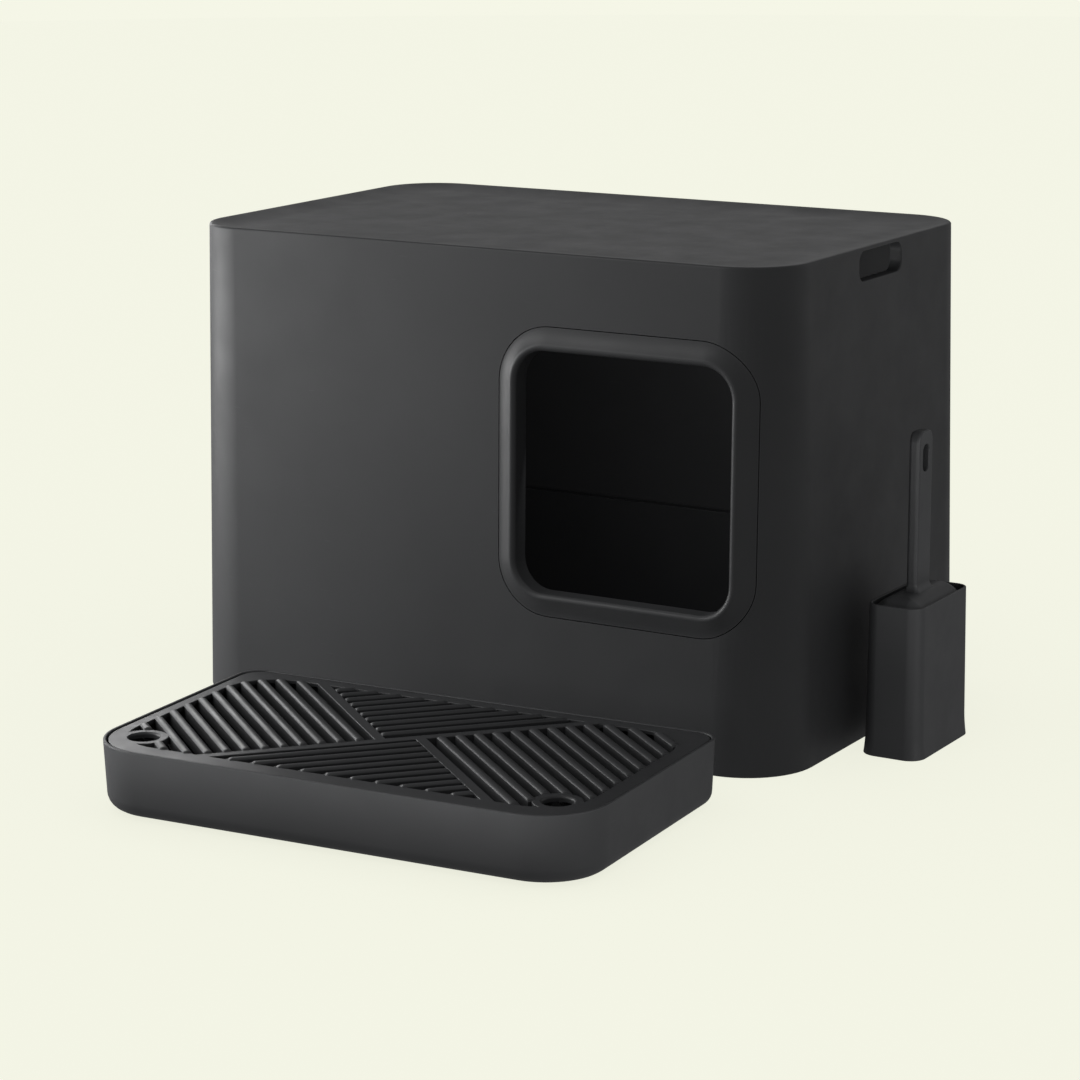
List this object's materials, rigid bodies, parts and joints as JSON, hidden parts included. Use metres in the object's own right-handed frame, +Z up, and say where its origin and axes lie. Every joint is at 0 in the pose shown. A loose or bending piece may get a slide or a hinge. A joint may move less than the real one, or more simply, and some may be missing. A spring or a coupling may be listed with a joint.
{
  "type": "cat litter box with hood",
  "caption": "Hooded cat litter box with a framed square entry, an inner litter pan, a foot-cleaning grid tray and a scoop in its stand.",
  "frame": {"origin": "centre of the litter pan's underside, on the floor, which is also the centre of the hood's footprint", "axes": "+Z up, +X towards the end that the entry is nearer to, +Y from the entry side to the back"},
  "size_m": [0.6715, 0.7296, 0.42],
  "materials": {
    "hood_plastic": "satin moulded polypropylene, charcoal grey, fine spark texture",
    "bezel_plastic": "satin moulded polypropylene, charcoal grey, slightly smoother than the hood",
    "pan_plastic": "satin moulded polypropylene, dark charcoal",
    "tray_plastic": "satin moulded polypropylene, charcoal grey",
    "grid_plastic": "satin moulded polypropylene, charcoal grey, ribs polished by wear",
    "foot_rubber": "matte black rubber",
    "holder_plastic": "satin moulded polypropylene, charcoal grey",
    "scoop_plastic": "satin moulded polypropylene, charcoal grey"
  },
  "bodies": {
    "pan": {"litter_pan": "pan_plastic"},
    "hood": {"hood_shell": "hood_plastic", "entry_bezel": "bezel_plastic"},
    "foot_tray": {"tray_base": "tray_plastic", "tray_foot_1": "foot_rubber", "tray_foot_2": "foot_rubber", "tray_foot_3": "foot_rubber", "tray_foot_4": "foot_rubber"},
    "grid": {"tray_grid": "grid_plastic"},
    "holder": {"scoop_holder": "holder_plastic"},
    "scoop": {"scoop": "scoop_plastic"}
  },
  "joints": [
    {"name": "hood_lift", "type": "slide", "parent": "pan", "child": "hood", "axis": [0, 0, 1], "range_m": [0, 0.45]},
    {"name": "tray_lift", "type": "slide", "parent": "pan", "child": "foot_tray", "axis": [0, 0, 1], "range_m": [0, 0.25]},
    {"name": "grid_lift", "type": "slide", "parent": "foot_tray", "child": "grid", "axis": [0, 0, 1], "range_m": [0, 0.1]},
    {"name": "holder_lift", "type": "slide", "parent": "pan", "child": "holder", "axis": [0, 0, 1], "range_m": [0, 0.25]},
    {"name": "scoop_lift", "type": "slide", "parent": "holder", "child": "scoop", "axis": [0, 0, 1], "range_m": [0, 0.18]}
  ]
}
